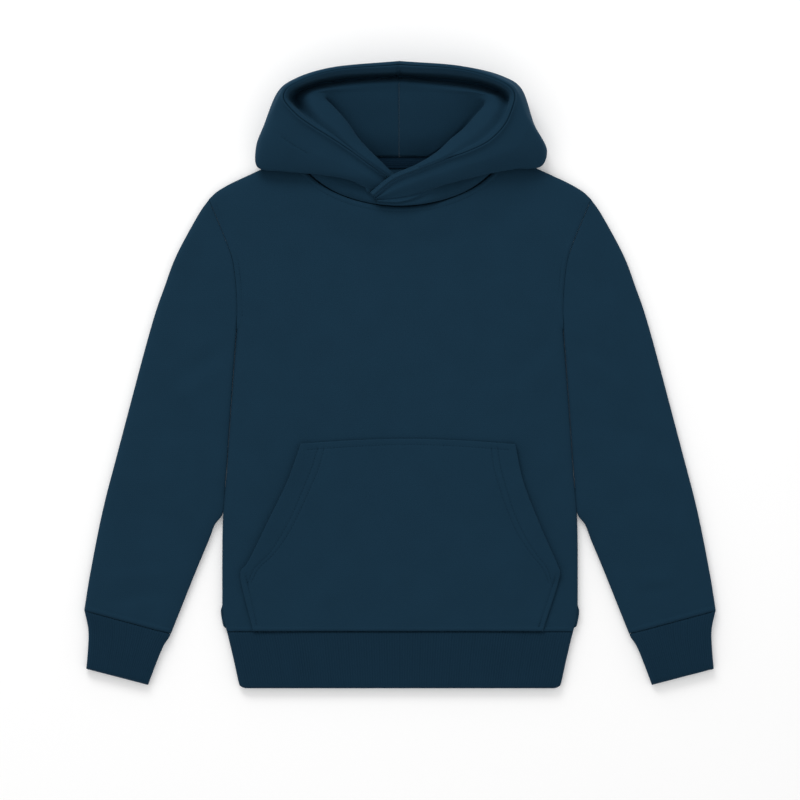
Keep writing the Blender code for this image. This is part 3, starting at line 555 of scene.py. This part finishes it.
def sleeve(side):
    shares = edge_shares(ARMHOLE_POINTS, 1.0)
    rows = edge_shares(SLEEVE_RINGS, 0.6)
    outer = along(SLEEVE_OUTER, rows)
    beside = [(half_width(h) + SLEEVE_CLEARANCE, h)
              for h in np.linspace(ARMPIT_HEIGHT, SLEEVE_LEAVES, 8)]
    inner = along(beside + SLEEVE_INNER, rows)
    armhole = along(ARMHOLE, shares) + [0.5 * SEAM, -0.3 * SEAM]
    outer[0], inner[0] = armhole[0], armhole[-1]
    cuff_seam = outer[-1] + (inner[-1] - outer[-1]) * shares[:, None]

    def relief(plan):
        sunk_join = -0.7 * (1 - smooth(distance(plan, ARMHOLE_SEAM), 0.0, 2.2))
        ridge = seam_relief(distance(plan, cuff_seam[::10]))
        return creased(plan, SLEEVE_CREASES[side]) + ridge + sunk_join

    heights = np.full(SLEEVE_RINGS, EDGE_HEIGHT)
    grid = tube(outer, inner, armhole, cuff_seam, shares, (FRONT_ROLL, INNER_ROLL), heights, relief)
    return cloth("arm_" + side, turned(grid, side), FLEECE, FLEECE_LOOK, closed=True)


def ribbed(outer, inner, count, width, high):
    """Grid of a ribbed tube between two folds, whose ribs run from its seam to its folded edge."""
    shares = edge_shares(RIB_COLUMNS * count + 1, 0.12)
    first = outer[0] + (inner[0] - outer[0]) * shares[:, None]
    last = outer[-1] + (inner[-1] - outer[-1]) * shares[:, None]
    run = np.linalg.norm(np.diff((outer + inner) / 2, axis=0), axis=1)
    from_seam = np.concatenate([[0.0], np.cumsum(run)])
    to_fold = from_seam[-1] - from_seam
    wave = -RIB_DEPTH * (1 - np.abs(np.sin(math.pi * count * shares))) ** 1.5
    heights = roll(to_fold, 3.0, 0.62 * high, high)
    dip = -0.9 * (1 - smooth(from_seam, 0.0, 1.8))
    rolls = (width, width)

    def relief(plan):
        return wave[None] + dip[:, None]

    upward = from_seam / from_seam[-1]
    return tube(outer, inner, first, last, shares, rolls, heights, relief, upward)


def cuff(side):
    rows = flowing(CUFF, CUFF_STEPS)
    grid = ribbed(rows[:, :2], rows[:, 2:], CUFF_RIBS, CUFF_ROLL, EDGE_HEIGHT)
    return cloth("wrist_rib_" + side, turned(grid, side), RIB, RIB_LOOK, closed=True)


def hem_band():
    right = np.array([(half_width(h), h) for h in HEM_HEIGHTS])
    grid = ribbed(right, right * [-1, 1], HEM_RIBS, BAND_ROLL, EDGE_HEIGHT - BAND_STEP)
    return cloth("hem_rib", grid, RIB, RIB_LOOK, closed=True)


def pocket_edges():
    """The plan lines of the pocket's left and right edges, from its folded top down."""
    rows = flowing(POCKET_EDGE, POCKET_STEPS)
    return rows[:, :2], rows[:, 2:]


def facing_lines(which):
    """Plan lines of one row of facing stitches (1 the outer, 2 the inner) on both sides of the pocket."""
    rows = flowing(POCKET_EDGE, [6] * (len(POCKET_EDGE) - 1))
    lines = []
    for edge, inwards in ((rows[::-1, :2], 1), (rows[::-1, 2:], -1)):
        lines.append(np.array([(np.interp(row[0], edge[:, 1], edge[:, 0]) + inwards * row[which], row[0])
                               for row in POCKET_ROWS]))
    return lines


def pocket_top(plan):
    """Top of the pocket at plan points: the front's, raised, with its slants lifted and its stitches."""
    left, right = pocket_edges()
    slanted = sum(POCKET_STEPS[:3]) + 1
    slants = np.vstack([left[:slanted], [(np.nan, np.nan)], right[:slanted]])
    z = front_top(plan) + SEAM + FLEECE
    z += POCKET_LIFT * (1 - smooth(distance(plan, slants), 0.0, POCKET_LIFT_WIDTH))
    for line in facing_lines(1) + facing_lines(2) + POCKET_TOPSTITCH:
        z += groove(distance(plan, line))
    return z


def resampled(line, count):
    """The line's points, evenly spread over count rows."""
    wanted, given = np.linspace(0, 1, count), np.linspace(0, 1, len(line))
    return np.stack([np.interp(wanted, given, line[:, k]) for k in (0, 1)], axis=1)


def pocket():
    left, right = pocket_edges()
    columns, rows = POCKET_GRID
    shares = np.linspace(0.0, 1.0, columns)
    top = left[0] + (right[0] - left[0]) * shares[:, None]
    top[:, 1] += (POCKET_TOP_HEIGHT - POCKET_EDGE[0][1]) * np.sin(math.pi * shares)
    bottom = left[-1] + (right[-1] - left[-1]) * shares[:, None]
    plan = coons(top, bottom, resampled(left, rows), resampled(right, rows))
    return cloth("pocket_cloth", lift(plan, pocket_top(plan))[:, ::-1], FLEECE, FLEECE_LOOK)


def pocket_topstitch():
    """The stitch line under the pocket's folded top, and those down its sewn sides."""
    left, right = POCKET_EDGE[0][0] + 5.0, POCKET_EDGE[0][2] - 5.0
    xs = np.linspace(left, right, 30)
    arch = POCKET_TOP_HEIGHT - POCKET_EDGE[0][1]
    heights = POCKET_EDGE[0][1] - POCKET_TOP_INSET + arch * np.sin(math.pi * (xs - left) / (right - left))
    return [
        np.stack([xs, heights], axis=1),
        np.array([(-138.9, 103.0), (-128.2, 55.0)]),
        np.array([(139.8, 102.0), (124.3, 55.0)]),
    ]


def loft(sections, column_steps):
    """A grid of millimetre points over sections of named points, smooth both ways."""
    sections = np.array(sections)
    steps = [SECTION_STEPS] * (len(sections) - 1)
    rows = np.stack([flowing(sections[:, j], steps) for j in range(sections.shape[1])], axis=1)
    return np.array([flowing(row, column_steps) for row in rows])


def outer_section(row):
    """The named points of one section of the hood's outer half, from its seam to the rim."""
    sewn_x, sewn_z = row[:2]
    crease, fold, half, rim = np.array(row[2:5]), np.array(row[5:8]), row[8], np.array(row[9:])
    at_front = crease[2] > 0.0
    sewn_y = front_neck_height(sewn_x) if at_front else back_neck_height(sewn_x)
    sewn_y += NECK_EASE * (1 + 2.5 * (sewn_x / NECK_HALF) ** 4)
    sewn = np.array([sewn_x, sewn_y, sewn_z])
    out = np.append(unit(fold[:2] - rim[:2]), 0.0)
    back = np.append(unit(crease[:2] - fold[:2]), 0.0) if at_front else -out
    up = np.array([0.0, 0.0, 1.0])
    reach = np.linalg.norm(fold[:2] - rim[:2])
    below = fold + back * half * 0.9 - up * half
    above = fold + (rim - fold) * [0.12, 0.12, 0.0] + up * half
    face = rim + out * max(0.5 * reach, min(2.9, 0.9 * reach))
    face[2] = 0.45 * above[2] + 0.55 * rim[2] + 0.6
    if at_front:
        tip = crease + back * 1.2 + up * 0.5
        over = crease + up * 1.2
    else:
        tip = crease * 0.6 + below * 0.4
        over = crease * 0.3 + below * 0.7
    return np.array([
        sewn, crease, tip, over, below, fold, above, face,
        rim + out * min(3.0, 0.8 * reach) - up * 1.8, rim + out * 1.3, rim,
    ])


def wall_height(y):
    """Height off the surface of the hood's back wall inside."""
    return float(np.interp(y, [h for h, _ in BACK_WALL], [z for _, z in BACK_WALL]))


def lining_section(row, outer_row):
    """The named points of one section of the hood's lining, from the rim to its end."""
    dip_share, dip_z = row[:2]
    crest, edge, foot, end = (np.array(row[k:k + 3]) for k in (2, 5, 8, 11))
    rim = np.array(outer_row[-3:])
    inward = np.append(unit(crest[:2] - rim[:2]), 0.0)
    up = np.array([0.0, 0.0, 1.0])
    dip = rim + (crest - rim) * dip_share
    dip[2] = dip_z
    depth = min(1.0, (rim[2] - dip_z) / 6.0)
    reach = min(1.0, np.linalg.norm(crest[:2] - rim[:2]) / 8.0)
    first, second = foot + (end - foot) / 3, foot + (end - foot) * 2 / 3
    if end[2] < 4.0:
        first[2], second[2] = wall_height(first[1]), wall_height(second[1])
    return np.array([
        rim + inward * RIM_GAP, rim + inward * (RIM_GAP + 1.3 * reach),
        rim + inward * (RIM_GAP + 3.0 * reach) - up * 1.8 * depth,
        dip, crest, edge, foot, first, second, end,
    ])


def hood_half(name, points, side):
    """A half of the hood from its grid of millimetre points, wound the way its side needs."""
    grid = lift(points[..., :2], points[..., 2])
    return cloth(name + side, grid[:, ::-1] if side == "left" else grid, FLEECE, FLEECE_LOOK)


def hood_outer(side):
    """The outer half, with the groove of its rim's hem, and the points that the stitches there need."""
    points = loft([outer_section(row) for row in HOOD_OUTER[side]], OUTER_STEPS)
    points[-1, :, 0] += CENTRE_CLOSING[side]
    to_rim = np.linalg.norm(points[:, :, :2] - points[:, -1:, :2], axis=2)
    on_top = np.arange(points.shape[1]) >= sum(OUTER_STEPS[:6])
    wide_enough = smooth(to_rim[:, FACE_COLUMN, None], 18.0, 30.0)
    points[:, :, 2] += groove(to_rim - RIM_HEM, 0.45, 1.1) * on_top * wide_enough
    return hood_half("hood_shell_", points, side), points, to_rim


def hood_lining(side):
    sections = [lining_section(row, outer) for row, outer in zip(HOOD_LINING[side], HOOD_OUTER[side])]
    points = loft(sections, LINING_STEPS)
    points[-1, :, 0] += CENTRE_CLOSING[side]
    return hood_half("hood_inside_", points, side)


def neck_tape():
    columns, rows = np.linspace(-TAPE_HALF, TAPE_HALF, 91), np.linspace(TAPE_LOW, TAPE_HIGH, 13)
    plan = np.stack(np.meshgrid(columns, rows), axis=-1)
    from_edge = np.minimum(plan[..., 1] - TAPE_LOW, TAPE_HIGH - plan[..., 1])
    z = FLEECE + SEAM + TAPE + groove(from_edge - 1.6, 0.25)
    return cloth("back_neck_tape", lift(plan, z), TAPE, TAPE_LOOK)


# A stitch's rings along its length: where each stands, its size, and how far it sinks in
STITCH_RINGS = [
    # share, size, sink
    (0.0, 0.35, -0.2), (0.25, 1.0, 0.0), (0.75, 1.0, 0.0), (1.0, 0.35, -0.2),
]


def stitches(name, lines):
    """One mesh of short threads lying along lines of millimetre points."""
    vertices, faces = [], []
    for line in map(np.asarray, lines):
        run = np.concatenate([[0.0], np.cumsum(np.linalg.norm(np.diff(line, axis=0), axis=1))])
        for start in np.arange(0.6, run[-1] - STITCH, STITCH + STITCH_GAP):
            centres = [np.array([np.interp(start + row[0] * STITCH, run, line[:, k]) for k in range(3)])
                       for row in STITCH_RINGS]
            way = unit(centres[-1] - centres[0])
            side = unit(np.cross(way, [0.0, 0.0, 1.0]))
            up = np.cross(side, way)
            first = len(vertices)
            for centre, (_, size, sink) in zip(centres, STITCH_RINGS):
                for turn in 2 * math.pi * np.arange(THREAD_SIDES) / THREAD_SIDES:
                    round_it = side * math.cos(turn) + up * math.sin(turn)
                    vertices.append(place(*(centre + THREAD * size * round_it + up * sink)))
            last = first + THREAD_SIDES * (len(STITCH_RINGS) - 1)
            for a in range(first, last, THREAD_SIDES):
                for j in range(THREAD_SIDES):
                    k, b = (j + 1) % THREAD_SIDES, a + THREAD_SIDES
                    faces.append((a + j, a + k, b + k, b + j))
            faces.append([first + j for j in range(THREAD_SIDES)][::-1])
            faces.append([last + j for j in range(THREAD_SIDES)])
    mesh = bpy.data.meshes.new(name)
    mesh.from_pydata(vertices, [], faces)
    mesh.shade_smooth()
    mesh.materials.append(THREAD_LOOK)
    piece = bpy.data.objects.new(name, mesh)
    bpy.context.scene.collection.objects.link(piece)
    return piece


def on_surface(line, top):
    """The points of a plan line, lying on a surface."""
    return np.column_stack([line, top(line) + 0.5 * THREAD])


def inset(line, by):
    """A plan line moved to its left side by a distance."""
    run = np.gradient(line, axis=0)
    run /= np.linalg.norm(run, axis=1)[:, None]
    return line + by * np.stack([-run[:, 1], run[:, 0]], axis=1)


def hem_top(plan):
    """What the hem's topstitching lies on: the pocket in the middle, and the front beside it."""
    return np.where(np.abs(plan[:, 0]) < 128.0, pocket_top(plan), front_top(plan))


def rim_hem_line(points, to_rim):
    """The stitch line on an outer half of the hood, where its face is wide enough to show one."""
    line = []
    for row, gaps in zip(points[RIM_HEM_ROWS], to_rim[RIM_HEM_ROWS]):
        if gaps[FACE_COLUMN] > RIM_HEM + 1.0:
            face, widths = row[FACE_COLUMN:], -gaps[FACE_COLUMN:]
            line.append([np.interp(-RIM_HEM, widths, face[:, k]) for k in range(3)])
    return np.array(line) + [0.0, 0.0, 0.5 * THREAD]


def sewing_lines(hood_lines):
    neck = np.array([(x, front_neck_height(x)) for x in np.linspace(-86.0, 86.0, 60)])
    armhole = inset(ARMHOLE_SEAM, -TOPSTITCH)[3:-4]
    hem_half = half_width(BAND_TOP) - 5.0
    hem = np.array([(x, BAND_TOP + TOPSTITCH) for x in np.linspace(-hem_half, hem_half, 60)])
    lines = [on_surface(line, front_top) for line in (inset(neck, -TOPSTITCH), armhole, armhole * [-1, 1])]
    lines.append(on_surface(hem, hem_top))
    for line in facing_lines(1) + facing_lines(2) + POCKET_TOPSTITCH:
        lines.append(on_surface(spline(line, 4), pocket_top))
    return lines + hood_lines


def look(name, colour, fuzz, sheen, rows=0.0):
    """Brushed cloth: a dark matt dye with soft patches, a nap of fine fibres and faint knitted rows."""
    made = bpy.data.materials.new(name)
    made.use_nodes = True
    nodes, links = made.node_tree.nodes, made.node_tree.links
    shader = nodes["Principled BSDF"]
    coordinates = nodes.new("ShaderNodeTexCoord")

    def settings(node, values):
        for socket, value in values.items():
            node.inputs[socket].default_value = value
        return node

    def texture(kind, values):
        node = settings(nodes.new(kind), values)
        links.new(coordinates.outputs["Object"], node.inputs["Vector"])
        return node

    def math_node(operation, by, source):
        node = nodes.new("ShaderNodeMath")
        node.operation = operation
        node.inputs[1].default_value = by
        links.new(source, node.inputs[0])
        return node

    def bump(height, strength, distance_of):
        node = settings(nodes.new("ShaderNodeBump"), {"Strength": strength, "Distance": distance_of})
        links.new(height, node.inputs["Height"])
        return node

    settings(shader, {
        "Roughness": 0.92, "Specular IOR Level": 0.06,
        "Sheen Weight": sheen, "Sheen Roughness": 0.55, "Sheen Tint": SHEEN_TINT,
    })
    patches = texture("ShaderNodeTexNoise", {"Scale": 38.0, "Detail": 3.0}).outputs["Fac"]
    fibres = texture("ShaderNodeTexNoise", {"Scale": 1500.0, "Detail": 4.0}).outputs["Fac"]
    knit = texture("ShaderNodeTexWave", {"Scale": 190.0, "Distortion": 2.5, "Detail Scale": 40.0})
    knit.bands_direction = "Y"

    # The colour: half of its spread from the patches, half from the fibres
    from_patches = math_node("MULTIPLY", 0.5, patches)
    together = math_node("MULTIPLY_ADD", 0.5, fibres)
    links.new(from_patches.outputs["Value"], together.inputs[2])
    shade = nodes.new("ShaderNodeMix")
    shade.data_type = "RGBA"
    shade.inputs["A"].default_value = tuple((1 - COLOUR_SPREAD) * c for c in colour) + (1.0,)
    shade.inputs["B"].default_value = tuple((1 + COLOUR_SPREAD) * c for c in colour) + (1.0,)
    links.new(together.outputs["Value"], shade.inputs["Factor"])
    links.new(shade.outputs["Result"], shader.inputs["Base Color"])

    # The relief: the nap of the fibres, then the knitted rows over it
    nap = bump(fibres, fuzz, 0.0004)
    knitted = bump(knit.outputs["Fac"], rows, 0.0003)
    links.new(nap.outputs["Normal"], knitted.inputs["Normal"])
    links.new(knitted.outputs["Normal"], shader.inputs["Normal"])
    return made


def declare(piece, node):
    """What is said of every sheet: it rides on the body and stands for its node, whose part is hidden."""
    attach(piece, "root")
    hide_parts(node)


FLEECE_LOOK = look("navy_fleece", FLEECE_COLOUR, 0.5, 0.07, rows=0.12)
RIB_LOOK = look("navy_rib", RIB_COLOUR, 0.35, 0.06)
TAPE_LOOK = look("navy_tape", TAPE_COLOUR, 0.25, 0.03, rows=0.5)
THREAD_LOOK = look("navy_thread", THREAD_COLOUR, 0.2, 0.05)
POCKET_TOPSTITCH = pocket_topstitch()

# The pieces
front_plan = body_plan(*FRONT_GRID, front_neck_height)
front = cloth("front_body", lift(front_plan, front_top(front_plan)), FLEECE, FLEECE_LOOK)
back_plan = body_plan(*BACK_GRID, back_neck_height)
back = cloth("back_body", lift(back_plan, back_top(back_plan))[:, ::-1], FLEECE, FLEECE_LOOK)
declare(back, "back_panel")
declare(front, "front_panel")
declare(pocket(), "pocket")
declare(hem_band(), "hem_band")
declare(neck_tape(), "neck_tape")
rim_lines = {}
for wearer_side in ("left", "right"):
    declare(sleeve(wearer_side), "sleeve_" + wearer_side)
    declare(cuff(wearer_side), "cuff_" + wearer_side)
    shell, *rim = hood_outer(wearer_side)
    rim_lines[wearer_side] = rim_hem_line(*rim)
    declare(shell, "hood_outer_" + wearer_side)
    declare(hood_lining(wearer_side), "hood_lining_" + wearer_side)

thread = stitches("stitching", sewing_lines([rim_lines["right"], rim_lines["left"]]))
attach(thread, "root")

# The surface that it lies on
bpy.ops.mesh.primitive_plane_add(size=6.0, location=(0.0, 0.0, -0.001))
floor = bpy.context.object
floor.name = "pale_surface"
pale = bpy.data.materials.new("pale_surface")
pale.use_nodes = True
pale_inputs = pale.node_tree.nodes["Principled BSDF"].inputs
pale_inputs["Base Color"].default_value = FLOOR_COLOUR
pale_inputs["Roughness"].default_value = 0.9
pale_inputs["Emission Color"].default_value = WHITE
pale_inputs["Emission Strength"].default_value = FLOOR_GLOW
floor.data.materials.append(pale)

# Pale light from all round, and a window beyond the hood
world = bpy.data.worlds.new("soft_daylight")
world.use_nodes = True
world.node_tree.nodes["Background"].inputs["Color"].default_value = WHITE
world.node_tree.nodes["Background"].inputs["Strength"].default_value = WORLD_LIGHT
bpy.context.scene.world = world
lamp = bpy.data.lights.new("window", "AREA")
lamp.shape = "RECTANGLE"
lamp.size, lamp.size_y = LAMP_SIZE
lamp.energy = LAMP_POWER
window = bpy.data.objects.new("window", lamp)
window.location = LAMP_PLACE
window.rotation_euler = [math.radians(angle) for angle in LAMP_TURN]
bpy.context.scene.collection.objects.link(window)

# The camera, straight above
lens = bpy.data.cameras.new("camera")
lens.lens, lens.sensor_width = LENS, SENSOR
camera = bpy.data.objects.new("camera", lens)
camera.location = (0.0, (VIEW_HEIGHT - LENGTH / 2) * MM, VIEW_DISTANCE)
bpy.context.scene.collection.objects.link(camera)
bpy.context.scene.camera = camera
bpy.context.scene.view_settings.view_transform = "Standard"
